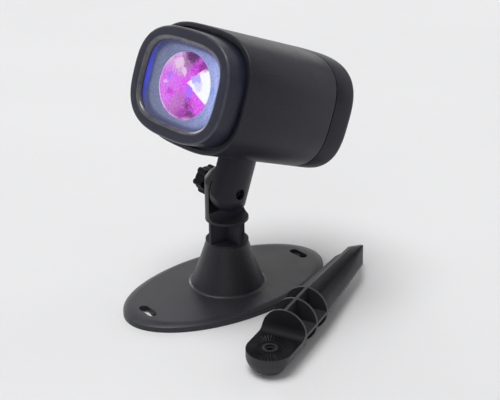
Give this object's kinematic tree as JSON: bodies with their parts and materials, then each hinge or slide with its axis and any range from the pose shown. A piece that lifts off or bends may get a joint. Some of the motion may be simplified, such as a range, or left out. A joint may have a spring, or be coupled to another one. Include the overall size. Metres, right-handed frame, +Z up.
{
  "type": "wave projector lamp",
  "caption": "Outdoor wave projector: an oval barrel lamp head behind a framed window, tilting on a knob-clamped toothed knuckle over a screw-down oval base, with a loose ground stake.",
  "frame": {"origin": "middle of the oval base's underside, on the floor", "axes": "+Z up; the beam leaves along -Y; the base's long axis is Y; the tilt axis is X, with the knob at -X"},
  "size_m": [0.1467, 0.1603, 0.1676],
  "materials": {
    "base_black": "moulded satin black",
    "post_black": "moulded satin black",
    "arm_black": "moulded satin black",
    "knob_black": "moulded matt black",
    "housing_black": "moulded satin black",
    "bezel_black": "moulded satin black",
    "stake_black": "moulded satin black",
    "gland_black": "moulded matt black",
    "seal_rubber": "matt",
    "screw_steel": "zinc plated",
    "black_steel": "blackened",
    "nut_brass": "bright",
    "pane_clear": "polished",
    "tray_silver": "silvered",
    "lens_tinted": "polished",
    "rotor_tinted": "rippled and clear",
    "board_white": "solder mask",
    "emitter_white": "clear resin over phosphor",
    "sink_metal": "extruded",
    "motor_metal": "plated can",
    "board_green": "solder mask",
    "parts_dark": "moulded"
  },
  "bodies": {
    "stand": {"base_flange": "base_black", "base_post": "post_black", "post_screws": "screw_steel", "washer": "screw_steel"},
    "head": {"pivot_bolt": "black_steel", "tilt_arm": "arm_black", "arm_screws": "screw_steel", "housing_barrel": "housing_black", "rear_seal": "seal_rubber", "rear_cap": "housing_black", "rear_screws": "black_steel", "cable_gland": "gland_black", "gland_nut": "gland_black", "front_bezel": "bezel_black", "window_seal": "seal_rubber", "window_pane": "pane_clear", "lens_tray": "tray_silver", "dome_lens": "lens_tinted", "led_board": "board_white", "light_emitters": "emitter_white", "heat_sink": "sink_metal", "sink_screws": "screw_steel", "motor": "motor_metal", "motor_screws": "screw_steel", "driver_board": "board_green", "driver_parts": "parts_dark", "board_screws": "screw_steel"},
    "rotor": {"wave_rotor": "rotor_tinted", "rotor_shaft": "screw_steel"},
    "knob": {"tilt_knob": "knob_black", "knob_nut": "nut_brass"},
    "stake": {"ground_stake": "stake_black"}
  },
  "joints": [
    {"name": "head_tilt", "type": "hinge", "parent": "stand", "child": "head", "pos_m": [0, 0, 0.067], "axis": [-1, 0, 0], "range_deg": [-105, 65]},
    {"name": "knob_turn", "type": "hinge", "parent": "stand", "child": "knob", "pos_m": [-0.018, 0, 0.067], "axis": [-1, 0, 0], "range_deg": [-540, 540]},
    {"name": "wave_spin", "type": "hinge", "parent": "head", "child": "rotor", "pos_m": [0, -0.03456, 0.13865], "axis": [0, 0.9455, -0.3256], "continuous": true},
    {"name": "stake_away", "type": "slide", "parent": "stand", "child": "stake", "axis": [1, 0, 0], "range_m": [0, 0.1]}
  ]
}
